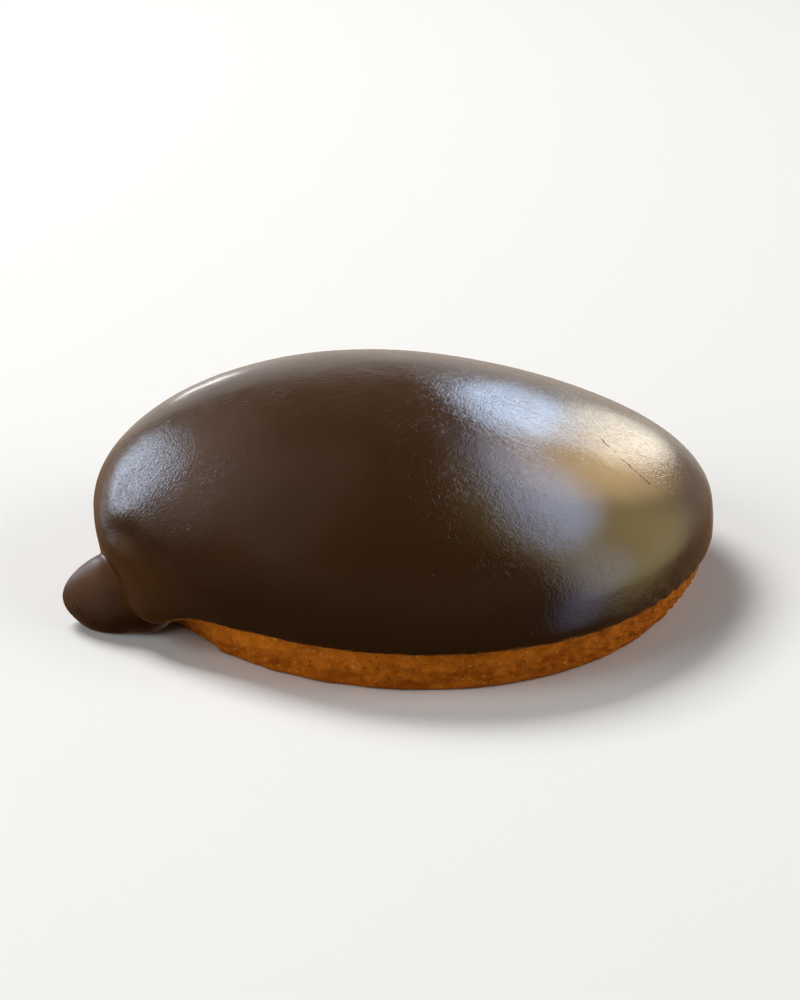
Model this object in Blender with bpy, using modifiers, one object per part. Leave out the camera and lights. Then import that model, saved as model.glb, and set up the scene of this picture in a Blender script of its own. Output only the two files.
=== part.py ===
"""A chocolate-filled macaroon: a round almond biscuit under a smooth, lopsided dome of dark chocolate.

Metres, +Z up. The origin is the centre of the flat underside, and the front is -Y. At the left front the
chocolate has run down: it makes a roll over its own edge, and below the roll a drip that set on the tray.
Azimuths are counter-clockwise from +X. The constants give them in degrees, the functions take radians.
"""
import math

import bmesh
import bpy
from mathutils import Vector, noise

# The dome of chocolate, from its crown out to its widest line and in again to its lip
DOME_HEIGHT = 0.0237
DOME_RADIUS = 0.03244
WIDEST_HEIGHT = 0.0085
LIP_RADIUS = 0.0320
LIP_HEIGHT = 0.0050
LIP_WAVE = 0.00012
LIP_WAVE_LENGTH = 0.006
CROWN_OFFSET = Vector((-0.0023, 0.0002, 0.0))

# How full the dome is at its crown and at its shoulder, where an exact ellipse is 1, and how much fuller
# the crown is to the left, the shoulder to the right, and the shoulder to the front
CROWN_FULLNESS = 0.785
CROWN_FULLER_LEFT = 0.553
SHOULDER_FULLNESS = 0.788
SHOULDER_FULLER_RIGHT = 0.20
SHOULDER_FULLER_FRONT = 0.237
ELLIPSE_HANDLE = 0.5523

# Seen from above, the outline departs from a circle by these shares of the radius
OVAL = -0.007
OVAL_SKEW = 0.004
EGG = -0.018
EGG_SKEW = 0.030

# The roll over the lip at the left front, the valley above it, and the dip of the lip under it
ROLL_AZIMUTH = 209.0
ROLL_SPREAD = 12.0
ROLL_HEIGHT = 0.0082
ROLL_FALL_PER_DEGREE = 0.00018
ROLL_WIDTH_ABOVE = 0.0017
ROLL_WIDTH_BELOW = 0.0060
ROLL_SWELL = 0.0022
VALLEY_RISE = 0.0024
VALLEY_WIDTH = 0.0011
VALLEY_DEPTH = 0.0007
DIP_AZIMUTH = 218.0
DIP_SPREAD = 4.5
DIP_DEPTH = 0.0012

# The drip, an egg from its tip at the far left to a thicker root under the lip
DRIP_TIP = Vector((-0.03556, -0.0117, 0.0025))
DRIP_ROOT = Vector((-0.0231, -0.0138, 0.0050))
DRIP_RADIUS = 0.00455
DRIP_FLARE = 0.2

# The biscuit, whose flank leans out from its foot to its belly, with a dent where the drip meets it and a
# bulge at the right
FOOT_RADIUS = 0.0287
FOOT_ROUNDING = 0.0005
BELLY_RADIUS = 0.0314
BELLY_HEIGHT = 0.0062
BELLY_CURVE = 1.6
BISCUIT_HEIGHT = 0.0086
SHOULDER_ROUNDING = 0.0018
SHOULDER_TURN = math.radians(80)
DENT_AZIMUTH = 214.0
DENT_SPREAD = 9.0
DENT_DEPTH = 0.0011
BULGE_AZIMUTH = 343.0
BULGE_SPREAD = 7.0
BULGE_HEIGHT = 0.0028
BULGE_WIDTH = 0.0014
BULGE_SWELL = 0.0005

# The crags of the baked paste: roughness over CRAG_THRESHOLD stands at the flank, what is less is cut in
CRAG_DEPTH = 0.00055
CRAG_LENGTH = 0.0026
CRAG_THRESHOLD = 0.45
CRAG_FADE = 0.001

# Chocolate and biscuit stay this far apart, and the drip a little farther, clear of the coat's inner wall
GAP = 0.0003
DRIP_GAP = 0.00045

# How finely the shapes are divided
COAT_SIDES = 108
CROWN_RINGS = 13
SKIRT_RINGS = 8
WALL_RINGS = 2
BISCUIT_SIDES = 132
FLANK_RINGS = 8
FOOT_RINGS = 2
SHOULDER_RINGS = 3
DRIP_SIDES = 22
DRIP_RINGS = 14

WALL_TOP = BISCUIT_HEIGHT - SHOULDER_ROUNDING


def bell(offset, spread):
    """A smooth bump: 1 at no offset, fading over the spread."""
    return math.exp(-0.5 * (offset / spread) ** 2)


def degrees_from(centre, azimuth):
    """Degrees from a centre azimuth to this one, between -180 and 180."""
    return (math.degrees(azimuth) - centre + 180.0) % 360.0 - 180.0


def between(low, high, share):
    """The value at this share of the way from low to high."""
    return low + (high - low) * share


def clamped(value):
    """The value kept between 0 and 1."""
    return min(1.0, max(0.0, value))


def around(azimuth, radius, height):
    """The point at this azimuth, radius and height."""
    return Vector((radius * math.cos(azimuth), radius * math.sin(azimuth), height))


def outline(azimuth):
    """The plan's radius at this azimuth, as a share of a circle's."""
    oval = OVAL * math.cos(2 * azimuth) + OVAL_SKEW * math.sin(2 * azimuth)
    egg = EGG * math.cos(3 * azimuth) + EGG_SKEW * math.sin(3 * azimuth)
    return 1.0 + oval + egg


# ---- the chocolate's outside ----

def lip_height(azimuth):
    """Height of the chocolate's edge, which waves a little and dips under the roll."""
    wave = LIP_WAVE * noise.noise(around(azimuth, DOME_RADIUS / LIP_WAVE_LENGTH, 0.0))
    return LIP_HEIGHT + wave - DIP_DEPTH * bell(degrees_from(DIP_AZIMUTH, azimuth), DIP_SPREAD)


def roll_relief(azimuth, height):
    """How far the roll swells, and the valley over it sinks, at this azimuth and height."""
    offset = degrees_from(ROLL_AZIMUTH, azimuth)
    above_crest = height - ROLL_HEIGHT + ROLL_FALL_PER_DEGREE * offset
    width = ROLL_WIDTH_ABOVE if above_crest > 0 else ROLL_WIDTH_BELOW
    swell = ROLL_SWELL * bell(above_crest, width)
    valley = VALLEY_DEPTH * bell(above_crest - VALLEY_RISE, VALLEY_WIDTH)
    return (swell - valley) * bell(offset, ROLL_SPREAD)


def coat_point(azimuth, radius, height):
    """A point of the plain round dome, moved for the roll, the lopsided outline and the leaning crown."""
    swollen = radius + roll_relief(azimuth, height)
    lean = max(0.0, height - LIP_HEIGHT) / (DOME_HEIGHT - LIP_HEIGHT)
    return around(azimuth, swollen * outline(azimuth), height) + lean * CROWN_OFFSET


def crown_point(azimuth, t):
    """From the crown, t = 0, along one Bezier arc to the widest line, t = 1."""
    crown = CROWN_FULLNESS * (1 - CROWN_FULLER_LEFT * math.cos(azimuth))
    fuller_right = SHOULDER_FULLER_RIGHT * math.cos(azimuth)
    fuller_front = -SHOULDER_FULLER_FRONT * math.sin(azimuth)
    shoulder = SHOULDER_FULLNESS * (1 + fuller_right + fuller_front)
    crown_handle = crown * ELLIPSE_HANDLE * DOME_RADIUS
    shoulder_handle = shoulder * ELLIPSE_HANDLE * (DOME_HEIGHT - WIDEST_HEIGHT)
    start = (1 - t) ** 3
    leaving = 3 * t * (1 - t) ** 2
    arriving = 3 * t * t * (1 - t)
    end = t ** 3
    radius = leaving * crown_handle + (arriving + end) * DOME_RADIUS
    height = (start + leaving) * DOME_HEIGHT + (arriving + end) * WIDEST_HEIGHT + arriving * shoulder_handle
    return coat_point(azimuth, radius, height)


def skirt_point(azimuth, t):
    """From the widest line, t = 0, along a quarter ellipse that curls in to the lip, t = 1."""
    turn = t * math.pi / 2
    radius = between(LIP_RADIUS, DOME_RADIUS, math.cos(turn))
    height = between(WIDEST_HEIGHT, lip_height(azimuth), math.sin(turn))
    return coat_point(azimuth, radius, height)


# ---- the biscuit, and the hollow that fits it ----

def biscuit_radius(azimuth, height):
    """The smooth biscuit's radius, out from the foot to the belly and in at the rounded shoulder."""
    rise = clamped(height / BELLY_HEIGHT)
    flank = between(FOOT_RADIUS, BELLY_RADIUS, 1 - (1 - rise) ** BELLY_CURVE)
    dent = DENT_DEPTH * bell(degrees_from(DENT_AZIMUTH, azimuth), DENT_SPREAD) * (1 - rise)
    bulge = BULGE_SWELL * bell(degrees_from(BULGE_AZIMUTH, azimuth), BULGE_SPREAD)
    bulge *= bell(height - BULGE_HEIGHT, BULGE_WIDTH)
    over_wall = min(SHOULDER_ROUNDING, max(0.0, height - WALL_TOP))
    shoulder = SHOULDER_ROUNDING - math.sqrt(SHOULDER_ROUNDING ** 2 - over_wall ** 2)
    return (flank - dent + bulge - shoulder) * outline(azimuth)


def crag_depth(point):
    """How deep the crags cut in at a point, fading out at the foot and under the chocolate."""
    roughness = noise.fractal(point / CRAG_LENGTH, 0.6, 2.1, 3)
    shown = clamped(point.z / CRAG_FADE) * clamped((BELLY_HEIGHT - point.z) / CRAG_FADE)
    return CRAG_DEPTH * clamped(CRAG_THRESHOLD - roughness) * shown


def biscuit_point(azimuth, height, inset=0.0):
    """A point of the biscuit's side, in from the smooth form by its crags and the inset."""
    radius = biscuit_radius(azimuth, height) - inset
    return around(azimuth, radius - crag_depth(around(azimuth, radius, height)), height)


def shoulder_point(azimuth, t):
    """From the top of the flank, t = 0, round the shoulder to the edge of the top, t = 1."""
    return biscuit_point(azimuth, WALL_TOP + SHOULDER_ROUNDING * math.sin(t * SHOULDER_TURN))


def flank_point(azimuth, t):
    """From the foot's rounding, t = 0, up the flank, t = 1."""
    return biscuit_point(azimuth, between(FOOT_ROUNDING, WALL_TOP, t))


def foot_point(azimuth, t):
    """From the flat underside, t = 0, round the foot to the flank, t = 1."""
    inset = FOOT_ROUNDING * (1 - math.sqrt(1 - (1 - t) ** 2))
    return biscuit_point(azimuth, t * FOOT_ROUNDING, inset)


def wall_point(azimuth, t):
    """The coat's inside, a gap off the flank, from the lip, t = 0, to the shoulder, t = 1."""
    height = between(lip_height(azimuth), WALL_TOP, t)
    return around(azimuth, biscuit_radius(azimuth, height) + GAP, height)


def vault_point(azimuth, t):
    """The coat's inside, a gap off the shoulder, from the flank, t = 0, to the edge of the top, t = 1."""
    rise = math.sin(t * SHOULDER_TURN)
    radius = biscuit_radius(azimuth, WALL_TOP + SHOULDER_ROUNDING * rise) + GAP
    return around(azimuth, radius, WALL_TOP + (SHOULDER_ROUNDING + GAP) * rise)


# ---- turning ----

def shares(count):
    """The shares 1/count, 2/count, up to 1."""
    return [(i + 1) / count for i in range(count)]


def coat_rings():
    """The coat's rings, down the outside and up the inside: the function that places each, and its t."""
    crown = [(crown_point, t) for t in shares(CROWN_RINGS)]
    skirt = [(skirt_point, t) for t in shares(SKIRT_RINGS)]
    wall = [(wall_point, t) for t in [0.0] + shares(WALL_RINGS)]
    vault = [(vault_point, t) for t in shares(SHOULDER_RINGS)]
    return crown + skirt + wall + vault


def biscuit_rings():
    """The biscuit's rings, from the edge of its top down to its underside."""
    shoulder = [(shoulder_point, t) for t in reversed(shares(SHOULDER_RINGS))]
    flank = [(flank_point, t) for t in reversed(shares(FLANK_RINGS))]
    foot = [(foot_point, t) for t in reversed([0.0] + shares(FOOT_RINGS))]
    return shoulder + flank + foot


def turned_blank(ring_count, sides):
    """A barrel turned by a Screw modifier, its rings one step apart in height and a pole at either end."""
    bm = bmesh.new()
    profile = [bm.verts.new((0.0, 0.0, 0.0))]
    for ring in range(1, ring_count + 1):
        profile.append(bm.verts.new((1.0, 0.0, -ring)))
    profile.append(bm.verts.new((0.0, 0.0, -ring_count - 1)))
    for upper, lower in zip(profile, profile[1:]):
        bm.edges.new((upper, lower))
    mesh = bpy.data.meshes.new("profile")
    bm.to_mesh(mesh)
    bm.free()

    blank = bpy.data.objects.new("blank", mesh)
    bpy.context.scene.collection.objects.link(blank)
    screw = blank.modifiers.new("turn", "SCREW")
    screw.steps = sides
    screw.render_steps = sides
    screw.use_merge_vertices = True
    screw.merge_threshold = 0.0001
    depsgraph = bpy.context.evaluated_depsgraph_get()
    barrel = bpy.data.meshes.new_from_object(blank.evaluated_get(depsgraph))
    bpy.data.objects.remove(blank)
    return barrel


def turned_shape(name, sides, rings, top, bottom):
    """Turn a barrel, then move each of its rings to the shape's own ring, and its poles to top and bottom."""
    mesh = turned_blank(len(rings), sides)
    mesh.name = name
    for vertex in mesh.vertices:
        ring = round(-vertex.co.z)
        if ring == 0:
            vertex.co = top
        elif ring > len(rings):
            vertex.co = bottom
        else:
            place, t = rings[ring - 1]
            vertex.co = place(math.atan2(vertex.co.y, vertex.co.x), t)
    return bpy.data.objects.new(name, mesh)


# ---- the drip ----

def drip_point(direction, axis):
    """Where a unit sphere's point goes: onto an egg about the axis, flat on the tray and off the biscuit."""
    along = direction.dot(axis)
    across = (direction - axis * along) * DRIP_RADIUS * (1 + DRIP_FLARE * along)
    point = DRIP_TIP.lerp(DRIP_ROOT, (1 + along) / 2) + across
    height = max(0.0, point.z)
    azimuth = math.atan2(point.y, point.x)
    clear = biscuit_radius(azimuth, height) + DRIP_GAP
    return around(azimuth, max(clear, math.hypot(point.x, point.y)), height)


def make_drip():
    """The drip, an egg that is flat where it touched the tray and follows the biscuit's flank behind."""
    axis = (DRIP_ROOT - DRIP_TIP).normalized()
    bm = bmesh.new()
    bmesh.ops.create_uvsphere(bm, u_segments=DRIP_SIDES, v_segments=DRIP_RINGS, radius=1.0)
    bmesh.ops.rotate(bm, verts=bm.verts, matrix=axis.to_track_quat("Z", "Y").to_matrix())
    for vertex in bm.verts:
        vertex.co = drip_point(vertex.co, axis)
    mesh = bpy.data.meshes.new("drip")
    bm.to_mesh(mesh)
    bm.free()
    return bpy.data.objects.new("drip", mesh)


# ---- the two pieces ----

def make_material(name, colour, roughness):
    """A plain food surface of one colour."""
    material = bpy.data.materials.new(name)
    material.use_nodes = True
    shader = material.node_tree.nodes["Principled BSDF"]
    shader.inputs["Base Color"].default_value = (*colour, 1.0)
    shader.inputs["Roughness"].default_value = roughness
    shader.inputs["Metallic"].default_value = 0.0
    return material


def make_biscuit():
    """The almond biscuit: a low round of baked paste with a craggy flank and a flat underside."""
    top = Vector((0.0, 0.0, BISCUIT_HEIGHT))
    return turned_shape("macaroon_base", BISCUIT_SIDES, biscuit_rings(), top, Vector())


def make_coat(drip):
    """The chocolate: the dome down to its lip, hollowed for the biscuit, with the drip fused on."""
    crown = Vector((0.0, 0.0, DOME_HEIGHT)) + CROWN_OFFSET
    hollow_top = Vector((0.0, 0.0, BISCUIT_HEIGHT + GAP))
    coat = turned_shape("chocolate_coat", COAT_SIDES, coat_rings(), crown, hollow_top)
    fuse = coat.modifiers.new("fuse the drip", "BOOLEAN")
    fuse.operation = "UNION"
    fuse.solver = "EXACT"
    fuse.object = drip
    return coat


def new_collection(name):
    """A new collection in the scene."""
    collection = bpy.data.collections.new(name)
    bpy.context.scene.collection.children.link(collection)
    return collection


def add_piece(piece, collection, material):
    """Put a finished piece in its collection, smooth and in its material."""
    piece.data.materials.append(material)
    piece.data.shade_smooth()
    collection.objects.link(piece)


def main():
    for old in list(bpy.data.objects):
        bpy.data.objects.remove(old)
    macaroon = new_collection("chocolate_macaroon")
    helpers = new_collection("helpers")

    drip = make_drip()
    drip.hide_render = True
    drip.display_type = "WIRE"
    helpers.objects.link(drip)

    almond_paste = make_material("almond_paste", (0.40, 0.13, 0.014), 0.75)
    chocolate = make_material("chocolate", (0.036, 0.015, 0.005), 0.3)
    add_piece(make_biscuit(), macaroon, almond_paste)
    add_piece(make_coat(drip), macaroon, chocolate)


main()
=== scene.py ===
import math

import bmesh
import bpy
from mathutils import Matrix, Vector, noise


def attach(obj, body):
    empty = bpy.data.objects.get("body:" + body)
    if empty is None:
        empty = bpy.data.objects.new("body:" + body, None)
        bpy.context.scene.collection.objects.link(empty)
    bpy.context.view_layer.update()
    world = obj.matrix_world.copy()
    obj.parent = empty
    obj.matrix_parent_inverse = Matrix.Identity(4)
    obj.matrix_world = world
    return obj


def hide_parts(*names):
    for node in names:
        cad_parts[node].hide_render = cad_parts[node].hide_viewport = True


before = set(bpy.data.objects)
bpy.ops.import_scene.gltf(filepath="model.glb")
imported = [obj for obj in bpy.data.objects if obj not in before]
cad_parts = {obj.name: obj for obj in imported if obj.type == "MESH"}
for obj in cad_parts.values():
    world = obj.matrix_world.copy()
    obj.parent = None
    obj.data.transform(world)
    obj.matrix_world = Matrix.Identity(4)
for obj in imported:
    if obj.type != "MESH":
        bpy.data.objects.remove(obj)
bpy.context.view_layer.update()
print("frame loaded")

# All sizes are in metres. The front is -Y, and azimuths turn counter-clockwise from +X, in degrees in
# the dictionaries and in radians in the functions. The side that a feature is on is (azimuth, spread).

camera = {
    "elevation": 21.0,
    "distance": 0.350,
    "lens": 119.8,
    "clipStart": 0.01,
    "aim": (-0.001416, 0.003041, 0.007922),
}

dome = {
    "height": 0.0237, "radius": 0.03244, "widestHeight": 0.0085,
    "lipRadius": 0.0320, "lipHeight": 0.0050,
    "crownOffset": Vector((-0.0023, 0.0002, 0.0)),
    "crownFullness": 0.785, "crownFullerLeft": 0.553,
    "shoulderFullness": 0.788, "shoulderFullerRight": 0.20, "shoulderFullerFront": 0.237,
    "ellipseHandle": 0.5523,  # the handle that makes a curve a quarter ellipse, as a share of its radius
    "sides": 420, "crownRings": 116, "skirtRings": 40, "lipRings": 6, "wallRings": 3, "vaultRings": 3,
}

lip = {
    "rounding": 0.00030,
    "waves": ((0.0060, 0.00012), (0.0021, 0.00007), (0.0009, 0.00005)),  # (length, height) of each
    "bite": 0.0002,           # how far the chocolate's inside reaches into the biscuit
    "smearReach": 0.0006,     # how far the chocolate stains the biscuit below the lip
    "moreSmear": 1.5,         # how many times more it stains at the thin patch
    "thinReach": 0.00045,     # how far up from the lip the chocolate is thin enough to look brown
}

plan = {"oval": -0.007, "ovalSkew": 0.004, "egg": -0.018, "eggSkew": 0.030}

# a pair, other than a side, is (where the roll comes from the back, where it faces the front)
roll = {
    "azimuth": 209.0, "spread": 12.0, "height": 0.0082, "fallPerDegree": 0.00018,
    "frontStart": -8.6, "frontEnd": 2.8, "frontLift": 0.0010,
    "widthAbove": (0.0026, 0.0027), "widthBelow": 0.0068, "swell": 0.0022,
    "valleyRise": (0.0012, 0.0015), "valleyWidth": (0.0008, 0.0012), "valleyDepth": (0.00034, 0.00115),
    "hangSide": (213.0, 11.5), "hangHeight": 0.0038, "hangWidth": 0.0018, "hangSwell": 0.00094,
    "dipSide": (217.0, 5.0), "dipDepth": 0.0018,
}

drip = {
    "tip": Vector((-0.03556, -0.0117, 0.0025)), "root": Vector((-0.0231, -0.0138, 0.0050)),
    "radius": 0.00455, "flare": 0.2, "sides": 110, "rings": 80,
    "neckAlong": 0.06, "neckWidth": 0.12, "neckDepth": 0.045,  # along the drip from -1, its tip, to 1
    "footAlong": -0.65, "footWidth": 0.27, "footSwell": 0.09,
    "seamReach": 0.0004, "seamPasses": 5,
}

biscuit = {
    "footRadius": 0.0287, "footRounding": 0.0005,
    "bellyRadius": 0.0314, "bellyHeight": 0.0062, "bellyCurve": 1.6,
    "height": 0.0086, "shoulderRounding": 0.0018, "shoulderTurn": math.radians(80),
    "dentSide": (214.0, 9.0), "dentDepth": 0.0011,
    "bulgeSide": (343.0, 7.0), "bulgeHeight": 0.0028, "bulgeWidth": 0.0014, "bulgeSwell": 0.0005,
    # lumps at the foot: (azimuth, swell, spread to the left, spread to the right)
    "lumps": ((226.5, 0.00034, 0.5, 2.4), (239.9, 0.00018, 0.5, 2.6), (254.2, 0.00022, 2.6, 0.5)),
    "lumpHeight": 0.0017,
    "sides": 800, "shoulderRings": 3, "flankRings": 62, "footRings": 6,
}

wallTop = biscuit["height"] - biscuit["shoulderRounding"]

# the biscuit's crumb: crags and pores are cut in, and lumps and grains swell out a little
crumb = {
    "cragLength": 0.0026, "cragDepth": 0.00055, "cragThreshold": 0.45,
    "cragNoise": (0.6, 2.1, 3), "grainNoise": (0.7, 2.0, 2),  # (evenness, step in size, layers)
    "lumpLength": 0.0013, "lumpSwell": 0.00022, "lumpRoundness": 2.2, "lumpSink": 0.6,
    "grainLength": 0.00045, "grainSwell": 0.00009,
    "poreLength": 0.0017, "poreRadius": 0.00030, "poreDepth": 0.00035, "poreShare": 0.16,
    "poreDraw": 7.3,          # another number draws other pores
    "coarseSide": (310.0, 42.0), "fineShare": 0.45,
    "fade": 0.001,            # the crumb dies out this near to the foot and to the belly
}


def bell(offset, spread):
    return math.exp(-0.5 * (offset / spread) ** 2)


def degreesFrom(centre, azimuth):
    return (math.degrees(azimuth) - centre + 180.0) % 360.0 - 180.0


def facing(side, azimuth):
    # 1 in the middle of the side, and less the further round from it
    middle, spread = side
    return bell(degreesFrom(middle, azimuth), spread)


def between(low, high, share):
    return low + (high - low) * share


def clamped(value):
    return min(1.0, max(0.0, value))


def smooth(value):
    share = clamped(value)
    return share * share * (3 - 2 * share)


def around(azimuth, radius, height):
    return Vector((radius * math.cos(azimuth), radius * math.sin(azimuth), height))


def outline(azimuth):
    oval = plan["oval"] * math.cos(2 * azimuth) + plan["ovalSkew"] * math.sin(2 * azimuth)
    egg = plan["egg"] * math.cos(3 * azimuth) + plan["eggSkew"] * math.sin(3 * azimuth)
    return 1.0 + oval + egg


# the chocolate's form: the solid's, with more shape at the front of the roll and at its lip

def lipHeight(azimuth):
    height = dome["lipHeight"]
    for length, swing in lip["waves"]:
        height += swing * noise.noise(around(azimuth, dome["radius"] / length, 0.0))
    return height - roll["dipDepth"] * facing(roll["dipSide"], azimuth)


def rollRelief(azimuth, height):
    offset = degreesFrom(roll["azimuth"], azimuth)
    front = smooth((offset - roll["frontStart"]) / (roll["frontEnd"] - roll["frontStart"]))
    crest = roll["height"] - roll["fallPerDegree"] * offset + roll["frontLift"] * front
    aboveCrest = height - crest
    width = between(*roll["widthAbove"], front) if aboveCrest > 0 else roll["widthBelow"]
    swell = roll["swell"] * bell(aboveCrest, width)
    rise = between(*roll["valleyRise"], front)
    valley = between(*roll["valleyDepth"], front)
    valley *= bell(aboveCrest - rise, between(*roll["valleyWidth"], front))
    hang = roll["hangSwell"] * facing(roll["hangSide"], azimuth)
    hang *= bell(height - roll["hangHeight"], roll["hangWidth"])
    return (swell - valley) * bell(offset, roll["spread"]) + hang


def coatPoint(azimuth, radius, height):
    swollen = radius + rollRelief(azimuth, height)
    lean = max(0.0, height - dome["lipHeight"]) / (dome["height"] - dome["lipHeight"])
    return around(azimuth, swollen * outline(azimuth), height) + lean * dome["crownOffset"]


def crownPoint(azimuth, t):
    # a curve from the crown, at 0, to the widest ring, at 1
    crown = dome["crownFullness"] * (1 - dome["crownFullerLeft"] * math.cos(azimuth))
    fullerRight = dome["shoulderFullerRight"] * math.cos(azimuth)
    fullerFront = -dome["shoulderFullerFront"] * math.sin(azimuth)
    shoulder = dome["shoulderFullness"] * (1 + fullerRight + fullerFront)
    crownHandle = crown * dome["ellipseHandle"] * dome["radius"]
    shoulderHandle = shoulder * dome["ellipseHandle"] * (dome["height"] - dome["widestHeight"])
    start, leaving = (1 - t) ** 3, 3 * t * (1 - t) ** 2
    arriving, end = 3 * t * t * (1 - t), t ** 3
    radius = leaving * crownHandle + (arriving + end) * dome["radius"]
    height = (start + leaving) * dome["height"] + (arriving + end) * dome["widestHeight"]
    return coatPoint(azimuth, radius, height + arriving * shoulderHandle)


def skirtPoint(azimuth, t):
    # the turned-in side, from the widest ring down to the lip
    turn = t * math.pi / 2
    radius = between(dome["lipRadius"], dome["radius"], math.cos(turn))
    low = lipHeight(azimuth) + lip["rounding"]
    return coatPoint(azimuth, radius, between(dome["widestHeight"], low, math.sin(turn)))


def lipPoint(azimuth, t):
    # a quarter round under the skirt
    turn = t * math.pi / 2
    radius = dome["lipRadius"] - lip["rounding"] * (1 - math.cos(turn))
    height = lipHeight(azimuth) + lip["rounding"] * (1 - math.sin(turn))
    return coatPoint(azimuth, radius, height)


def biscuitRadius(azimuth, height):
    rise = clamped(height / biscuit["bellyHeight"])
    lean = 1 - (1 - rise) ** biscuit["bellyCurve"]
    flank = between(biscuit["footRadius"], biscuit["bellyRadius"], lean)
    dent = biscuit["dentDepth"] * facing(biscuit["dentSide"], azimuth)
    bulge = biscuit["bulgeSwell"] * facing(biscuit["bulgeSide"], azimuth)
    bulge *= bell(height - biscuit["bulgeHeight"], biscuit["bulgeWidth"])
    overWall = min(biscuit["shoulderRounding"], max(0.0, height - wallTop))
    shoulder = biscuit["shoulderRounding"] - math.sqrt(biscuit["shoulderRounding"] ** 2 - overWall ** 2)
    return (flank - dent * (1 - rise) + bulge - shoulder) * outline(azimuth)


def footLump(azimuth, height):
    swell = 0.0
    for place, size, spreadLeft, spreadRight in biscuit["lumps"]:
        offset = degreesFrom(place, azimuth)
        swell += size * bell(offset, spreadLeft if offset < 0 else spreadRight)
    return swell * bell(height, biscuit["lumpHeight"])


def wallPoint(azimuth, t):
    # inside the chocolate, up along the biscuit's side
    height = between(lipHeight(azimuth), wallTop, t)
    return around(azimuth, biscuitRadius(azimuth, height) - lip["bite"], height)


def vaultPoint(azimuth, t):
    # inside the chocolate, over the biscuit's shoulder
    rise = math.sin(t * biscuit["shoulderTurn"])
    radius = biscuitRadius(azimuth, wallTop + biscuit["shoulderRounding"] * rise) - lip["bite"]
    return around(azimuth, radius, wallTop + (biscuit["shoulderRounding"] - lip["bite"]) * rise)


def coarseness(azimuth):
    return between(crumb["fineShare"], 1.0, facing(crumb["coarseSide"], azimuth))


def cragDepth(point):
    roughness = noise.fractal(point / crumb["cragLength"], *crumb["cragNoise"])
    return crumb["cragDepth"] * clamped(crumb["cragThreshold"] - roughness)


def lumpSwell(point):
    near, far = noise.voronoi(point / crumb["lumpLength"])[0][:2]
    return crumb["lumpSwell"] * (clamped((far - near) * crumb["lumpRoundness"]) - crumb["lumpSink"])


def poreDepth(point):
    distances, centres = noise.voronoi(point / crumb["poreLength"])
    chance = noise.cell(centres[0] * crumb["poreDraw"]) * 0.5 + 0.5
    depth = clamped(1 - distances[0] * crumb["poreLength"] / crumb["poreRadius"])
    return crumb["poreDepth"] * math.sqrt(depth) if chance < crumb["poreShare"] else 0.0


def crumbRelief(azimuth, point):
    coarse = coarseness(azimuth)
    grain = crumb["grainSwell"] * noise.fractal(point / crumb["grainLength"], *crumb["grainNoise"])
    shown = clamped(point.z / crumb["fade"]) * clamped((biscuit["bellyHeight"] - point.z) / crumb["fade"])
    return (lumpSwell(point) * coarse + grain - cragDepth(point) - poreDepth(point)) * shown


def flankPoint(azimuth, height, inset=0.0):
    radius = biscuitRadius(azimuth, height) + footLump(azimuth, height) - inset
    return around(azimuth, radius + crumbRelief(azimuth, around(azimuth, radius, height)), height)


def biscuitShoulderPoint(azimuth, t):
    rise = math.sin(t * biscuit["shoulderTurn"])
    return flankPoint(azimuth, wallTop + biscuit["shoulderRounding"] * rise)


def biscuitFlankPoint(azimuth, t):
    return flankPoint(azimuth, between(biscuit["footRounding"], wallTop, t))


def biscuitFootPoint(azimuth, t):
    inset = biscuit["footRounding"] * (1 - math.sqrt(1 - (1 - t) ** 2))
    return flankPoint(azimuth, t * biscuit["footRounding"], inset)


def shares(count):
    return [(i + 1) / count for i in range(count)]


def turnedBlank(ringCount, sides):
    # a barrel in whole units, with its rings one step apart in height and a pole at each end
    bm = bmesh.new()
    profile = [bm.verts.new((0.0, 0.0, 0.0))]
    profile += [bm.verts.new((1.0, 0.0, -ring)) for ring in range(1, ringCount + 1)]
    profile.append(bm.verts.new((0.0, 0.0, -ringCount - 1)))
    for upper, lower in zip(profile, profile[1:]):
        bm.edges.new((upper, lower))
    bmesh.ops.spin(bm, geom=bm.verts[:] + bm.edges[:], cent=(0, 0, 0), axis=(0, 0, 1),
                   angle=math.tau, steps=sides, use_merge=True)
    bmesh.ops.remove_doubles(bm, verts=bm.verts, dist=1e-5)
    bmesh.ops.recalc_face_normals(bm, faces=bm.faces)
    return bm


def turnedShape(rings, sides, top, bottom):
    bm = turnedBlank(len(rings), sides)
    for vertex in bm.verts:
        ring = round(-vertex.co.z)
        if ring == 0:
            vertex.co = top
        elif ring > len(rings):
            vertex.co = bottom
        else:
            place, t = rings[ring - 1]
            vertex.co = place(math.atan2(vertex.co.y, vertex.co.x), t)
    return bm


def meshFrom(bm, name):
    mesh = bpy.data.meshes.new(name)
    bm.to_mesh(mesh)
    bm.free()
    piece = bpy.data.objects.new(name, mesh)
    bpy.context.scene.collection.objects.link(piece)
    return piece


def dripPoint(direction, axis):
    along = direction.dot(axis)
    neck = drip["neckDepth"] * bell(along - drip["neckAlong"], drip["neckWidth"])
    foot = drip["footSwell"] * max(0.0, -direction.z)
    foot *= bell(along - drip["footAlong"], drip["footWidth"])
    across = (direction - axis * along) * drip["radius"] * (1 + drip["flare"] * along - neck + foot)
    point = drip["tip"].lerp(drip["root"], (1 + along) / 2) + across
    height = max(0.0, point.z)
    azimuth = math.atan2(point.y, point.x)
    clear = biscuitRadius(azimuth, height) - lip["bite"]
    return around(azimuth, max(clear, math.hypot(point.x, point.y)), height)


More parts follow.
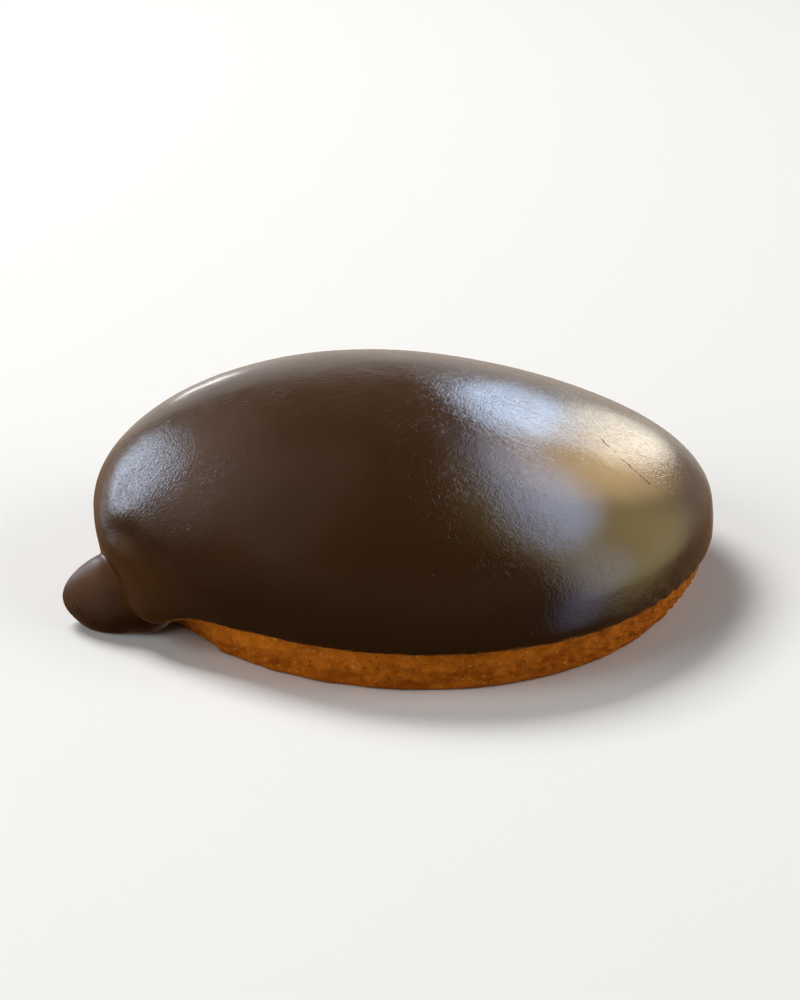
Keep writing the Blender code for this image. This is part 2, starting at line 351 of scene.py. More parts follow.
def makeDrip():
    axis = (drip["root"] - drip["tip"]).normalized()
    bm = bmesh.new()
    bmesh.ops.create_uvsphere(bm, u_segments=drip["sides"], v_segments=drip["rings"], radius=1.0)
    bmesh.ops.rotate(bm, verts=bm.verts, matrix=axis.to_track_quat("Z", "Y").to_matrix())
    for vertex in bm.verts:
        vertex.co = dripPoint(vertex.co, axis)
    return meshFrom(bm, "dripAlone")


def makeCoat():
    rings = [(crownPoint, t) for t in shares(dome["crownRings"])]
    rings += [(skirtPoint, t) for t in shares(dome["skirtRings"])]
    rings += [(lipPoint, t) for t in shares(dome["lipRings"])]
    rings += [(wallPoint, t) for t in [0.0] + shares(dome["wallRings"])]
    rings += [(vaultPoint, t) for t in shares(dome["vaultRings"])]
    crown = Vector((0, 0, dome["height"])) + dome["crownOffset"]
    hollowTop = Vector((0, 0, biscuit["height"] - lip["bite"]))
    return meshFrom(turnedShape(rings, dome["sides"], crown, hollowTop), "coatAlone")


def fused(coat, ran):
    # the drip's faces keep material 1 until the seam is smoothed, so that the seam can be found
    for piece in (coat, ran):
        piece.data.materials.append(None)
        piece.data.materials.append(None)
    for face in ran.data.polygons:
        face.material_index = 1
    join = coat.modifiers.new("join", "BOOLEAN")
    join.operation = "UNION"
    join.solver = "MANIFOLD"
    join.object = ran
    depsgraph = bpy.context.evaluated_depsgraph_get()
    mesh = bpy.data.meshes.new_from_object(coat.evaluated_get(depsgraph))
    bpy.data.objects.remove(coat)
    bpy.data.objects.remove(ran)
    bm = bmesh.new()
    bm.from_mesh(mesh)
    bpy.data.meshes.remove(mesh)
    return bm


def smoothSeam(bm):
    seam = []
    for edge in bm.edges:
        kinds = {face.material_index for face in edge.link_faces}
        if len(kinds) == 2:
            seam.append((edge.verts[0].co + edge.verts[1].co) / 2)
    print("seam points", len(seam))
    centre = sum(seam, Vector()) / len(seam)
    reach = max((point - centre).length for point in seam) + drip["seamReach"]
    near = []
    for vertex in bm.verts:
        if (vertex.co - centre).length < reach:
            if min((vertex.co - point).length for point in seam) < drip["seamReach"]:
                near.append(vertex)
    for i in range(drip["seamPasses"]):
        bmesh.ops.smooth_vert(bm, verts=near, factor=0.5,
                              use_axis_x=True, use_axis_y=True, use_axis_z=True)
    for face in bm.faces:
        face.material_index = 0


# the chocolate's uneven surface, and the thin patch where the biscuit's lumps show through it
surface = {
    "swells": ((0.0100, 0.00005), (0.0034, 0.000016), (0.0013, 0.000005)),  # (length, height) of each
    "swellSink": 0.5,         # the share of a swell that is cut in
    "thinSide": (329.0, 9.0), "thinTop": 0.0078, "thinFade": 0.0020,
    "lumpLength": 0.0012, "lumpSwell": 0.00022, "lumpSink": 0.4,
    "footClear": 0.0005,      # the drip's foot stays flat up to here
    "hollowClear": 0.0002,    # the hollow stays smooth this far out from the biscuit
}


def inHollow(point):
    azimuth = math.atan2(point.y, point.x)
    wall = biscuitRadius(azimuth, point.z) + surface["hollowClear"]
    return point.z < biscuit["height"] and math.hypot(point.x, point.y) < wall


def chocolateRelief(point):
    relief = 0.0
    for length, swing in surface["swells"]:
        relief += swing * (noise.noise(point / length) - surface["swellSink"])
    azimuth = math.atan2(point.y, point.x)
    thin = facing(surface["thinSide"], azimuth)
    thin *= clamped((surface["thinTop"] - point.z) / surface["thinFade"])
    lumps = noise.noise(point / surface["lumpLength"]) - surface["lumpSink"]
    return relief + surface["lumpSwell"] * thin * lumps


def addNode(tree, kind, inputs=None, **settings):
    node = tree.nodes.new(kind)
    for name, value in settings.items():
        setattr(node, name, value)
    for name, value in (inputs or {}).items():
        if isinstance(value, bpy.types.NodeSocket):
            tree.links.new(value, node.inputs[name])
        else:
            node.inputs[name].default_value = value
    return node


def noiseOf(tree, place, scale, detail=2.0, distortion=0.0):
    settings = {"Vector": place, "Scale": scale, "Detail": detail, "Distortion": distortion}
    return addNode(tree, "ShaderNodeTexNoise", settings).outputs["Fac"]


def ramp(tree, value, low, high, start=0.0, end=1.0):
    limits = {"Value": value, "From Min": low, "From Max": high, "To Min": start, "To Max": end}
    return addNode(tree, "ShaderNodeMapRange", limits, interpolation_type="SMOOTHSTEP").outputs["Result"]


def fullSwing(tree, grain, start=0.0, end=1.0):
    # a noise seldom leaves 0.2 to 0.8, so that range is spread from start to end
    return ramp(tree, grain, 0.2, 0.8, start, end)


def painted(tree, name):
    return addNode(tree, "ShaderNodeAttribute", attribute_name=name).outputs["Fac"]


def maths(tree, operation, a, b=0.0):
    return addNode(tree, "ShaderNodeMath", {0: a, 1: b}, operation=operation).outputs["Value"]


def vectorMaths(tree, operation, a, b, output="Vector"):
    return addNode(tree, "ShaderNodeVectorMath", {0: a, 1: b}, operation=operation).outputs[output]


def bent(tree, place, scale, amount):
    # each place shifted at random, by up to half the amount each way, which makes a pattern irregular
    shift = addNode(tree, "ShaderNodeTexNoise", {"Vector": place, "Scale": scale, "Detail": 1.0})
    centred = vectorMaths(tree, "SUBTRACT", shift.outputs["Color"], (0.5, 0.5, 0.5))
    scaled = addNode(tree, "ShaderNodeVectorMath", {0: centred, "Scale": amount}, operation="SCALE")
    return vectorMaths(tree, "ADD", place, scaled.outputs["Vector"])


def distanceTo(tree, place, start, end):
    # from each place to the nearest point of the straight line between start and end
    along = Vector(end) - Vector(start)
    fromStart = vectorMaths(tree, "SUBTRACT", place, start)
    share = vectorMaths(tree, "DOT_PRODUCT", fromStart, along / along.length_squared, "Value")
    share = addNode(tree, "ShaderNodeClamp", {"Value": share}).outputs["Result"]
    nearest = addNode(tree, "ShaderNodeVectorMath", {0: along, "Scale": share}, operation="SCALE")
    return vectorMaths(tree, "DISTANCE", fromStart, nearest.outputs["Vector"], "Value")


def mixColours(tree, share, first, second):
    node = tree.nodes.new("ShaderNodeMix")
    node.data_type = "RGBA"
    factor, a, b = node.inputs[0], node.inputs[6], node.inputs[7]
    for socket, value in ((factor, share), (a, first), (b, second)):
        if isinstance(value, bpy.types.NodeSocket):
            tree.links.new(value, socket)
        elif socket is factor:
            socket.default_value = value
        else:
            socket.default_value = (*value, 1.0)
    return node.outputs[2]


def bump(tree, height, distance, normal=None):
    inputs = {"Height": height, "Distance": distance, "Strength": 1.0}
    if normal:
        inputs["Normal"] = normal
    return addNode(tree, "ShaderNodeBump", inputs).outputs["Normal"]


def newMaterial(name):
    material = bpy.data.materials.new(name)
    material.use_nodes = True
    tree = material.node_tree
    place = addNode(tree, "ShaderNodeTexCoord").outputs["Object"]
    return material, tree, tree.nodes["Principled BSDF"], place


chocolateFinish = {
    "dark": (0.0185, 0.0073, 0.0017), "brown": (0.0230, 0.0094, 0.0026),
    # the drip brown is lighter partly as a painted sheen; the warm brown is a painted reflection of a
    # warm surface below the roll
    "dripBrownWithSheen": (0.064, 0.0275, 0.0100), "paintedReflectionBrown": (0.051, 0.0180, 0.0013),
    "thin": (0.17, 0.052, 0.005), "dust": (0.075, 0.050, 0.033),
    "patchScale": 90.0, "edgeScale": 900.0, "edgeSwing": 0.3,
    "roughness": (0.125, 0.155), "satinScale": 240.0, "dripDulling": 0.38,
    "specular": 0.5, "hollowSpecular": 0.22,
    "wrinkleScale": 1400.0, "wrinkleDepth": 0.0000080, "creaseWidth": 0.12,
    "calmScale": 210.0, "calmShare": 0.55,  # patches where only this share of the wrinkles is left
    "dimpleScale": 4200.0, "dimpleDepth": 0.0000120,
    "hammered": 4.5,          # how many times deeper the dimples are at the left
    "poreScale": 620.0, "poreShare": 0.10, "poreRadius": 0.00013, "poreDepth": 0.00005,
    "dustScale": 300.0, "dustShare": 0.16, "dustRadius": 0.00007,
}

# marks on the chocolate: lines are (start, end), spots are (place, radius), reaches are (inner, outer)
marks = {
    "cracks": (((0.0191, -0.0050, 0.0178), (0.0195, -0.0064, 0.0174)),
               ((0.0195, -0.0064, 0.0174), (0.0205, -0.0073, 0.0169)),
               ((0.0209, -0.0083, 0.0165), (0.0218, -0.0088, 0.0159)),
               ((0.0218, -0.0088, 0.0159), (0.0220, -0.0093, 0.0158)),
               ((0.0220, -0.0093, 0.0158), (0.0229, -0.0099, 0.0151)),
               ((0.0229, -0.0099, 0.0151), (0.0238, -0.0105, 0.0144))),
    "crackWidth": 0.00012, "crackDepth": 0.00007, "crackBend": 0.00030, "crackBendScale": 1800.0,
    "breakScale": 900.0, "breakShare": 0.3,  # a crack keeps this share of its depth where it breaks off
    "hammeredPlace": (-0.0276, -0.0115, 0.0148), "hammeredReach": (0.0020, 0.0100),
    "smoothSpots": ((-0.0190, 0.0048, 0.0206), (0.0215, -0.0165, 0.0145)),
    "smoothReach": (0.0040, 0.0105), "smoothShare": 0.15,  # this share of the wrinkles is left there
    "folds": (((-0.0054, -0.0014, 0.0236), (-0.0034, -0.0029, 0.0236)),
              ((-0.0034, -0.0029, 0.0236), (-0.0015, -0.0049, 0.0234))),
    "foldWidth": 0.00080, "foldHeight": 0.000008,
    "scratches": (((0.0025, -0.0241, 0.0180), (0.0025, -0.0246, 0.0177)),
                  ((0.0018, -0.0318, 0.0128), (0.0019, -0.0318, 0.0127))),
    "scratchWidth": 0.00009,
    "pits": (((-0.0302, -0.0069, 0.0134), 0.00030), ((-0.0266, -0.0137, 0.0140), 0.00028),
             ((-0.0237, -0.0194, 0.0127), 0.00022), ((-0.0183, -0.0004, 0.0216), 0.00026),
             ((-0.0118, 0.0026, 0.0230), 0.00026), ((0.0240, -0.0010, 0.0156), 0.00020),
             ((0.0236, -0.0049, 0.0155), 0.00022), ((0.0170, -0.0117, 0.0177), 0.00014)),
    "pitDepth": 0.000015,
    "gritPlace": (-0.0340, -0.0149, 0.0027), "gritRadius": 0.0014,
    "gritScale": 2300.0, "gritDepth": 0.00022,
}


def lineMarks(tree, place, lines, width):
    # 1 on the lines, fading to 0 at their width
    total = 0.0
    for start, end in lines:
        drawn = ramp(tree, distanceTo(tree, place, start, end), width, 0.0)
        total = maths(tree, "MAXIMUM", drawn, total)
    return total


def spotMarks(tree, place, spots):
    total = 0.0
    for centre, radius in spots:
        reach = vectorMaths(tree, "DISTANCE", place, centre, "Value")
        total = maths(tree, "MAXIMUM", ramp(tree, reach, radius, 0.0), total)
    return total


def crackMarks(tree, place):
    bentPlace = bent(tree, place, marks["crackBendScale"], marks["crackBend"])
    drawn = lineMarks(tree, bentPlace, marks["cracks"], marks["crackWidth"])
    breaks = noiseOf(tree, place, marks["breakScale"])
    return maths(tree, "MULTIPLY", drawn, ramp(tree, breaks, 0.35, 0.6, marks["breakShare"], 1.0))


def scattered(tree, place, scale, share, radius, softness=0.6):
    # round spots at random places, 1 in the middle of each
    cells = addNode(tree, "ShaderNodeTexVoronoi", {"Vector": place, "Scale": scale})
    chance = addNode(tree, "ShaderNodeSeparateColor", {"Color": cells.outputs["Color"]}).outputs["Red"]
    reach = radius * scale
    spot = ramp(tree, cells.outputs["Distance"], reach, reach * (1 - softness))
    return maths(tree, "MULTIPLY", spot, maths(tree, "LESS_THAN", chance, share))


def chocolateColour(tree, place):
    look = chocolateFinish
    patches = fullSwing(tree, noiseOf(tree, place, look["patchScale"], 3.0))
    colour = mixColours(tree, patches, look["dark"], look["brown"])
    # the drip's lighter brown is partly a painted sheen, and it fades out at the drip's foot as painted
    # shade
    colour = mixColours(tree, painted(tree, "dullSheenAndShade"), colour, look["dripBrownWithSheen"])
    # a painted warm reflection on the roll's lower side
    colour = mixColours(tree, painted(tree, "paintedWarmReflection"), colour, look["paintedReflectionBrown"])
    swing = look["edgeSwing"]
    ragged = fullSwing(tree, noiseOf(tree, place, look["edgeScale"], 3.0), -swing, swing)
    edge = maths(tree, "ADD", painted(tree, "edge"), ragged)
    colour = mixColours(tree, ramp(tree, edge, 0.3, 1.1), colour, look["thin"])
    dust = scattered(tree, place, look["dustScale"], look["dustShare"], look["dustRadius"])
    scratches = lineMarks(tree, place, marks["scratches"], marks["scratchWidth"])
    return mixColours(tree, maths(tree, "MAXIMUM", dust, scratches), colour, look["dust"])


def wrinkled(tree, place):
    look = chocolateFinish
    swirl = noiseOf(tree, place, look["wrinkleScale"], 2.0, 1.2)
    ridges = maths(tree, "ABSOLUTE", maths(tree, "SUBTRACT", swirl, 0.5))
    patches = ramp(tree, noiseOf(tree, place, look["calmScale"]), 0.35, 0.65, look["calmShare"], 1.0)
    for spot in marks["smoothSpots"]:
        reach = vectorMaths(tree, "DISTANCE", place, spot, "Value")
        left = ramp(tree, reach, *marks["smoothReach"], marks["smoothShare"], 1.0)
        patches = maths(tree, "MULTIPLY", patches, left)
    creases = maths(tree, "MULTIPLY", ramp(tree, ridges, 0.0, look["creaseWidth"]), patches)
    normal = bump(tree, creases, look["wrinkleDepth"])
    dimples = noiseOf(tree, place, look["dimpleScale"], 1.0, 0.8)
    reach = vectorMaths(tree, "DISTANCE", place, marks["hammeredPlace"], "Value")
    deeper = ramp(tree, reach, *marks["hammeredReach"], look["hammered"], 0.0)
    dimples = maths(tree, "MULTIPLY", dimples, maths(tree, "ADD", patches, deeper))
    return bump(tree, dimples, look["dimpleDepth"], normal)


def marked(tree, place, normal):
    look = chocolateFinish
    pores = scattered(tree, place, look["poreScale"], look["poreShare"], look["poreRadius"])
    normal = bump(tree, pores, -look["poreDepth"], normal)
    normal = bump(tree, spotMarks(tree, place, marks["pits"]), -marks["pitDepth"], normal)
    normal = bump(tree, crackMarks(tree, place), -marks["crackDepth"], normal)
    folds = lineMarks(tree, place, marks["folds"], marks["foldWidth"])
    normal = bump(tree, folds, marks["foldHeight"], normal)
    gritty = spotMarks(tree, place, ((marks["gritPlace"], marks["gritRadius"]),))
    grit = maths(tree, "MULTIPLY", gritty, noiseOf(tree, place, marks["gritScale"], 2.0))
    return bump(tree, grit, marks["gritDepth"], normal)


def chocolateMaterial():
    look = chocolateFinish
    material, tree, shader, place = newMaterial("dark_chocolate")
    tree.links.new(chocolateColour(tree, place), shader.inputs["Base Color"])
    satin = fullSwing(tree, noiseOf(tree, place, look["satinScale"], 3.0), *look["roughness"])
    dulling = maths(tree, "MULTIPLY", painted(tree, "dullSheenAndShade"), look["dripDulling"])
    tree.links.new(maths(tree, "ADD", satin, dulling), shader.inputs["Roughness"])
    hollows = maths(tree, "MAXIMUM", spotMarks(tree, place, marks["pits"]), crackMarks(tree, place))
    shine = ramp(tree, hollows, 0.2, 0.9, look["specular"], look["hollowSpecular"])
    tree.links.new(shine, shader.inputs["Specular IOR Level"])
    tree.links.new(marked(tree, place, wrinkled(tree, place)), shader.inputs["Normal"])
    return material


almondFinish = {
    "golden": (0.46, 0.130, 0.006), "brown": (0.32, 0.078, 0.003), "cream": (0.64, 0.30, 0.075),
    # the pit colour is painted shade in the pits and pinholes
    "paintedPitShade": (0.09, 0.020, 0.002), "chocolate": (0.028, 0.011, 0.0030),
    "roughness": 0.62, "smearRoughness": 0.34, "specular": 0.04,
    "patchScale": 420.0, "smearScale": 1100.0, "smearSwing": 0.35,
    "flakeScale": 2900.0, "flakeBend": 0.0005, "flakeBendScale": 1500.0,
    "flakeReach": (0.50, 0.15),
    "flakeless": 0.50, "palest": 0.65,  # the share of crumbs that isn't pale, and how pale the palest is
    "speckScale": 1700.0, "speckShare": 0.09, "speckRadius": 0.00016,
    "grainScale": 2600.0, "grainDepth": 0.00007,
    "nodules": (((259.1, 0.00275), 0.00040), ((263.6, 0.00305), 0.00026),
                ((264.4, 0.00245), 0.00026), ((271.0, 0.00180), 0.00024)),  # ((azimuth, height), radius)
    "pits": (((252.7, 0.00465), 0.00042), ((266.3, 0.00475), 0.00026), ((288.6, 0.00275), 0.00030),
             ((294.3, 0.00260), 0.00020), ((295.7, 0.00240), 0.00020)),
    "pitDepth": 0.00020,
}


def onFlank(spots):
    placed = []
    for (azimuth, height), radius in spots:
        turn = math.radians(azimuth)
        placed.append((around(turn, biscuitRadius(turn, height), height), radius))
    return placed


def almondColour(tree, place, pits):
    look = almondFinish
    patches = noiseOf(tree, place, look["patchScale"], 4.0)
    colour = mixColours(tree, ramp(tree, patches, 0.3, 0.7), look["brown"], look["golden"])
    bentPlace = bent(tree, place, look["flakeBendScale"], look["flakeBend"])
    crumbs = addNode(tree, "ShaderNodeTexVoronoi", {"Vector": bentPlace, "Scale": look["flakeScale"]})
    chance = addNode(tree, "ShaderNodeSeparateColor", {"Color": crumbs.outputs["Color"]}).outputs["Red"]
    flakes = maths(tree, "MULTIPLY", ramp(tree, crumbs.outputs["Distance"], *look["flakeReach"]),
                   ramp(tree, chance, look["flakeless"], 1.0, 0.0, look["palest"]))
    nodules = spotMarks(tree, place, onFlank(look["nodules"]))
    colour = mixColours(tree, maths(tree, "MAXIMUM", flakes, nodules), colour, look["cream"])
    specks = scattered(tree, place, look["speckScale"], look["speckShare"], look["speckRadius"])
    # pits and pinholes are darkened with painted shade
    return mixColours(tree, maths(tree, "MAXIMUM", specks, pits), colour, look["paintedPitShade"])


def almondMaterial():
    look = almondFinish
    material, tree, shader, place = newMaterial("almond_paste")
    pits = spotMarks(tree, place, onFlank(look["pits"]))
    swing = look["smearSwing"]
    ragged = fullSwing(tree, noiseOf(tree, place, look["smearScale"], 3.0), -swing, swing)
    covered = ramp(tree, maths(tree, "ADD", painted(tree, "smear"), ragged), 0.3, 0.9)
    colour = mixColours(tree, covered, almondColour(tree, place, pits), look["chocolate"])
    tree.links.new(colour, shader.inputs["Base Color"])
    roughness = ramp(tree, covered, 0.0, 1.0, look["roughness"], look["smearRoughness"])
    tree.links.new(roughness, shader.inputs["Roughness"])
    shader.inputs["Specular IOR Level"].default_value = look["specular"]
    normal = bump(tree, noiseOf(tree, place, look["grainScale"], 4.0), look["grainDepth"])
    tree.links.new(bump(tree, pits, -look["pitDepth"], normal), shader.inputs["Normal"])
    return material


def makeBiscuit():
    rings = [(biscuitShoulderPoint, t) for t in reversed(shares(biscuit["shoulderRings"]))]
    rings += [(biscuitFlankPoint, t) for t in reversed(shares(biscuit["flankRings"]))]
    rings += [(biscuitFootPoint, t) for t in reversed([0.0] + shares(biscuit["footRings"]))]
    bm = turnedShape(rings, biscuit["sides"], Vector((0, 0, biscuit["height"])), Vector())
    smear = bm.verts.layers.float.new("smear")
    for vertex in bm.verts:
        azimuth = math.atan2(vertex.co.y, vertex.co.x)
        reach = lip["smearReach"] * (1 + lip["moreSmear"] * facing(surface["thinSide"], azimuth))
        vertex[smear] = clamped((vertex.co.z - lipHeight(azimuth) + reach) / reach)
    return meshFrom(bm, "almond_biscuit")


# where the chocolate's tones lie: a pair, other than a side, is (where a tone starts or ends, its fade)
tones = {
    "dripOut": (0.0010, 0.0030), "dripTop": (0.0085, 0.0020),
    # the drip's mask fades out towards its foot, so the drip is darker there as painted shade
    "dullSide": (203.0, 9.0), "dripShadeFoot": (0.0002, 0.0040),
    "rollTop": (0.0115, 0.0050), "rollFoot": (0.0022, 0.0022),
    # where the painted warm reflection lies on the roll
    "warmReflectionSide": (208.0, 8.5),
    "edgelessAzimuth": 206.0, "edgelessReach": (13.0, 3.0),  # the roll and the drip have no thin edge
}


def above(value, start, fade):
    return smooth((value - start) / fade)


def below(value, end, fade):
    return smooth((end - value) / fade)


def paintChocolate(bm):
    # three masks: the drip, lighter with a painted sheen and fading out at its foot as painted shade; a
    # painted warm reflection on the roll; and the edge, 1 at the lip and fading up from it
    dullSheenAndShade = bm.verts.layers.float.new("dullSheenAndShade")
    paintedWarmReflection = bm.verts.layers.float.new("paintedWarmReflection")
    edge = bm.verts.layers.float.new("edge")
    for vertex in bm.verts:
        azimuth = math.atan2(vertex.co.y, vertex.co.x)
        outside = math.hypot(vertex.co.x, vertex.co.y) - dome["radius"] * outline(azimuth)
        height = vertex.co.z
        onDrip = above(outside, *tones["dripOut"]) * below(height, *tones["dripTop"])
        # the drip's mask also carries a painted sheen, and it fades out at the foot as painted shade
        vertex[dullSheenAndShade] = onDrip * facing(tones["dullSide"], azimuth) * above(height, *tones["dripShadeFoot"])
        onRoll = below(height, *tones["rollTop"]) * above(height, *tones["rollFoot"])
        # the painted warm reflection, on the roll's lower side and off the drip
        vertex[paintedWarmReflection] = onRoll * facing(tones["warmReflectionSide"], azimuth) * (1 - onDrip)
        low = clamped((lipHeight(azimuth) + lip["thinReach"] - height) / lip["thinReach"])
        start, fade = tones["edgelessReach"]
        aside = abs(degreesFrom(tones["edgelessAzimuth"], azimuth))
        vertex[edge] = low * clamped((aside - start) / fade)


def makeChocolate():
    bm = fused(makeCoat(), makeDrip())
    smoothSeam(bm)
    bm.normal_update()
    shifts = [(vertex, vertex.normal * chocolateRelief(vertex.co)) for vertex in bm.verts
              if vertex.co.z > surface["footClear"] and not inHollow(vertex.co)]
    for vertex, shift in shifts:
        vertex.co += shift
    paintChocolate(bm)
    return meshFrom(bm, "chocolate_shell")


def dress(piece, material, node):
    piece.data.materials.clear()
    piece.data.materials.append(material)
    piece.data.shade_smooth()
    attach(piece, "root")
    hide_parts(node)


dress(makeBiscuit(), almondMaterial(), "macaroon_base")
print("biscuit made")
dress(makeChocolate(), chocolateMaterial(), "chocolate_coat")
print("chocolate made")


studio = {
    "panelDistance": 0.8,
    "softDistance": 0.9, "softColour": (1.0, 0.985, 0.96), "softAim": Vector((0, 0, 0.012)),
    "floorSize": 4.0, "floorColour": (0.82, 0.82, 0.82, 1.0),
}


def heading(azimuth, elevation):
    # in the studio, azimuths start straight away from the camera, and + is to the right
    turn, rise = math.radians(azimuth), math.radians(elevation)
    return Vector((math.sin(turn) * math.cos(rise), math.cos(turn) * math.cos(rise), math.sin(rise)))


# what the chocolate mirrors: each panel is a soft-edged oval that lights nothing, with its width and
# height in degrees as seen from "seenFrom", a point on the dome
panels = {
    "leftWindow": {"seenFrom": (-0.0265, -0.010, 0.016), "azimuth": -40.6, "elevation": 16.1,
                   "width": 33.5, "height": 28.5, "tilt": 58, "fade": 0.72, "light": (3.3, 4.1, 5.2)},
    "leftHaze": {"seenFrom": (-0.0210, -0.014, 0.018), "azimuth": -52.5, "elevation": 30.5,
                 "width": 70.9, "height": 56.8, "tilt": -15, "fade": 0.95, "light": (0.64, 0.51, 0.48)},
    "leftSky": {"seenFrom": (-0.0275, -0.0165, 0.0095), "azimuth": -70.1, "elevation": 59.5,
                "width": 76.2, "height": 31.4, "tilt": -20, "fade": 0.25, "light": (0.16, 0.13, 0.11)},
    "tableGlow": {"seenFrom": (-0.0280, -0.0185, 0.0070), "azimuth": -81.3, "elevation": -16.1,
                  "width": 70.6, "height": 31.1, "tilt": 37, "fade": 0.86, "light": (0.12, 0.04, 0.04)},
    "rightWindow": {"seenFrom": (0.009, -0.004, 0.021), "azimuth": 15.7, "elevation": 24.0,
                    "width": 11.5, "height": 28, "tilt": 19, "fade": 0.6, "light": (2.75, 3.6, 4.8)},
    "warmWindow": {"seenFrom": (0.0227, -0.002, 0.0163), "azimuth": 20.8, "elevation": 14.1,
                   "width": 14.1, "height": 31.2, "tilt": 25, "fade": 0.62, "light": (3.4, 3.15, 2.65)},
    "tanBlind": {"seenFrom": (0.0169, -0.0158, 0.0169), "azimuth": 29.6, "elevation": 30.0,
                 "width": 30.4, "height": 51.9, "tilt": 7, "fade": 0.94, "light": (2.55, 1.75, 0.85)},
    "highSky": {"seenFrom": (0.010, -0.022, 0.017), "azimuth": 48.3, "elevation": 48.0,
                "width": 60, "height": 29, "tilt": -16, "fade": 0.78, "light": (1.4, 2.1, 3.7)},
    "farSky": {"seenFrom": (0.0176, -0.0273, 0.009), "azimuth": 95.1, "elevation": 13.1,
               "width": 45.6, "height": 100.3, "tilt": -23, "fade": 0.69, "light": (0.7, 0.84, 1.3)},
    "garden": {"seenFrom": (0.0235, -0.0164, 0.0127), "azimuth": 71.2, "elevation": 24.8,
               "width": 83.8, "height": 110.0, "tilt": -24, "fade": 0.87, "light": (1.55, 1.25, 0.52)},
    "backWall": {"seenFrom": (-0.0014, 0.0031, 0.0235), "azimuth": -0.4, "elevation": -1.6,
                 "width": 41.5, "height": 56.7, "tilt": -35, "fade": 0.22, "light": (0.20, 0.22, 0.22)},
    "rimWindow": {"seenFrom": (-0.0215, 0.0045, 0.0202), "azimuth": -10.9, "elevation": 0.1,
                  "distance": 0.15, "width": 10.8, "height": 2.3, "tilt": -16, "fade": 0.45,
                  "light": (4.40, 4.50, 4.80)},
    "rimGlow": {"seenFrom": (-0.0175, 0.0045, 0.0216), "azimuth": -7.9, "elevation": 0.2,
                "distance": 0.15, "width": 8.0, "height": 2.5, "tilt": 8, "fade": 0.84,
                "light": (0.37, 0.36, 0.64)},
}

# what the chocolate mirrors of the room around the panels: (height of the direction, colour)
room = {
    "behind": ((-1.0, (0.08, 0.035, 0.020)), (-0.31, (0.24, 0.13, 0.07)), (-0.10, (0.46, 0.32, 0.23)),
               (0.10, (0.46, 0.36, 0.30)), (0.34, (0.36, 0.24, 0.17)), (0.60, (0.34, 0.19, 0.11)),
               (0.80, (0.27, 0.13, 0.07)), (1.0, (0.24, 0.12, 0.06))),
    "inFront": ((-1.0, (0.05, 0.020, 0.010)), (-0.50, (0.09, 0.040, 0.018)), (0.0, (0.17, 0.10, 0.065)),
                (0.60, (0.30, 0.17, 0.10)), (1.0, (0.24, 0.12, 0.06))),
    "slant": 0.35, "meeting": (-0.2, 0.6),  # how the two sides meet, and where
    "ambient": (0.10, 0.10, 0.10),
}

# these light everything and aren't mirrored
soft = {
    "key": {"azimuth": -42, "elevation": 52, "size": 0.42, "power": 7.4},
    "fill": {"azimuth": -122, "elevation": 30, "size": 0.6, "power": 3.7},
    "rightFill": {"azimuth": 112, "elevation": 28, "size": 0.6, "power": 3.0},
}


def addArea(name, width, height, colour, power):
    data = bpy.data.lights.new(name, "AREA")
    data.shape = "RECTANGLE"
    data.size = width
    data.size_y = height
    data.color = colour
    data.energy = power
    light = bpy.data.objects.new(name, data)
    bpy.context.scene.collection.objects.link(light)
    light.visible_camera = False
    return light


def fadeEdges(light, fade):
    light.data.use_nodes = True
    tree = light.data.node_tree
    place = addNode(tree, "ShaderNodeNewGeometry").outputs["Parametric"]
    reach = vectorMaths(tree, "DISTANCE", place, (0.5, 0.5, 0.0), "Value")
    tree.links.new(ramp(tree, reach, 0.5, 0.5 * (1 - fade)), tree.nodes["Emission"].inputs["Strength"])


def addPanel(name, look):
    distance = look.get("distance", studio["panelDistance"])
    width = 2 * distance * math.tan(math.radians(look["width"] / 2))
    height = 2 * distance * math.tan(math.radians(look["height"] / 2))
    brightest = max(look["light"])
    colour = [channel / brightest for channel in look["light"]]
    power = math.pi * width * height * brightest
    light = addArea(name, width, height, colour, power)
    light.data.shape = "ELLIPSE"
    fadeEdges(light, look["fade"])
    direction = heading(look["azimuth"], look["elevation"])
    light.location = Vector(look["seenFrom"]) + direction * distance
    tilt = Matrix.Rotation(math.radians(look["tilt"]), 3, "Z")
    light.rotation_euler = (direction.to_track_quat("Z", "Y").to_matrix() @ tilt).to_euler()
    light.visible_diffuse = False


def addSoft(name, look):
    light = addArea(name, look["size"], look["size"], studio["softColour"], look["power"])
    direction = heading(look["azimuth"], look["elevation"])
    light.location = studio["softAim"] + direction * studio["softDistance"]
    light.rotation_euler = direction.to_track_quat("Z", "Y").to_euler()
    light.visible_glossy = False


for name, look in panels.items():
    addPanel(name, look)
for name, look in soft.items():
    addSoft(name, look)


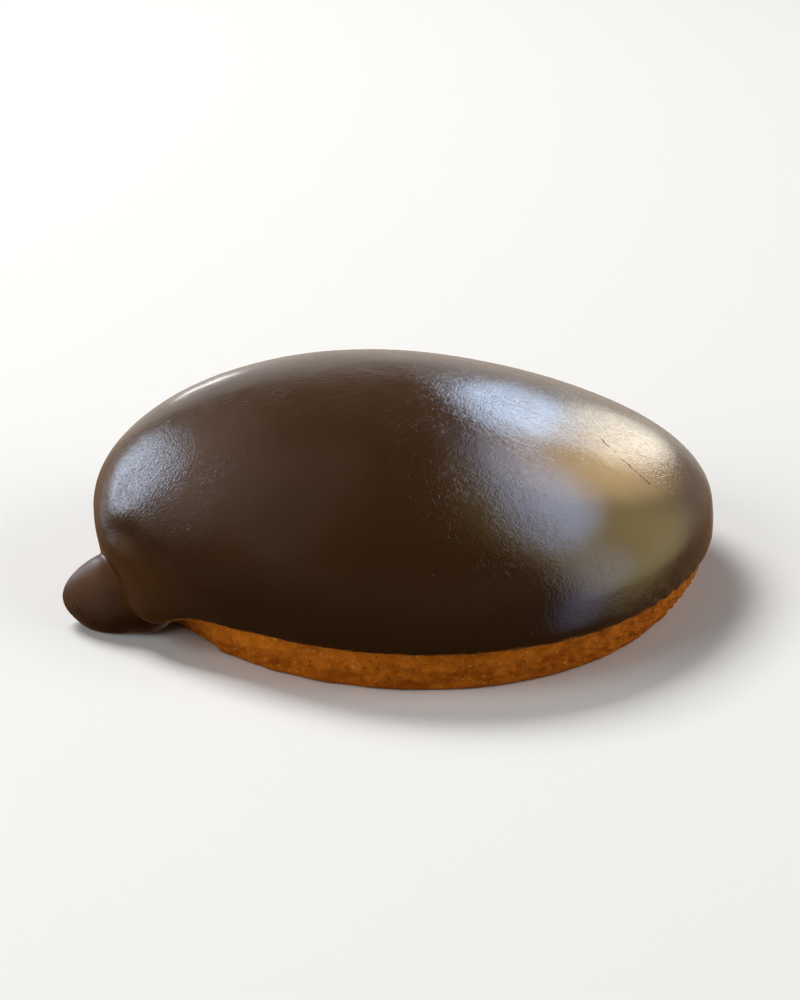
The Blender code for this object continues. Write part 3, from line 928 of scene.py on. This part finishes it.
def colourRamp(tree, value, stops):
    node = addNode(tree, "ShaderNodeValToRGB", {"Fac": value})
    elements = node.color_ramp.elements
    for element in elements[1:]:
        elements.remove(element)
    # heights run from -1 to 1, and the ramp from 0 to 1
    for i, (place, colour) in enumerate(stops):
        element = elements[0] if i == 0 else elements.new((place + 1) / 2)
        element.position = (place + 1) / 2
        element.color = (*colour, 1.0)
    return node.outputs["Color"]


def addRoom():
    world = bpy.data.worlds.new("room")
    bpy.context.scene.world = world
    world.use_nodes = True
    world.cycles.sampling_method = "NONE"
    tree = world.node_tree
    direction = addNode(tree, "ShaderNodeTexCoord").outputs["Generated"]
    parts = addNode(tree, "ShaderNodeSeparateXYZ", {"Vector": direction}).outputs
    height = maths(tree, "MULTIPLY_ADD", parts["Z"], 0.5)
    height.node.inputs[2].default_value = 0.5
    slanted = maths(tree, "MULTIPLY", parts["X"], room["slant"])
    behind = ramp(tree, maths(tree, "ADD", parts["Y"], slanted), *room["meeting"])
    seen = mixColours(tree, behind, colourRamp(tree, height, room["inFront"]),
                      colourRamp(tree, height, room["behind"]))
    glossy = addNode(tree, "ShaderNodeLightPath").outputs["Is Glossy Ray"]
    colour = mixColours(tree, glossy, room["ambient"], seen)
    tree.links.new(colour, tree.nodes["Background"].inputs["Color"])


def addFloor():
    bm = bmesh.new()
    bmesh.ops.create_grid(bm, x_segments=1, y_segments=1, size=studio["floorSize"])
    floor = meshFrom(bm, "floor")
    material, tree, shader, place = newMaterial("pale_floor")
    shader.inputs["Base Color"].default_value = studio["floorColour"]
    shader.inputs["Roughness"].default_value = 1.0
    shader.inputs["Specular IOR Level"].default_value = 0.0
    floor.data.materials.append(material)
    floor.visible_glossy = False
    floor.visible_shadow = False


def addCamera():
    data = bpy.data.cameras.new("camera")
    data.lens = camera["lens"]
    data.clip_start = camera["clipStart"]
    eye = bpy.data.objects.new("camera", data)
    bpy.context.scene.collection.objects.link(eye)
    eye.location = heading(180, camera["elevation"]) * camera["distance"]
    eye.rotation_euler = (Vector(camera["aim"]) - eye.location).to_track_quat("-Z", "Y").to_euler()
    bpy.context.scene.camera = eye


addRoom()
addFloor()
addCamera()
bpy.context.scene.view_settings.view_transform = "Standard"
print("studio lit")
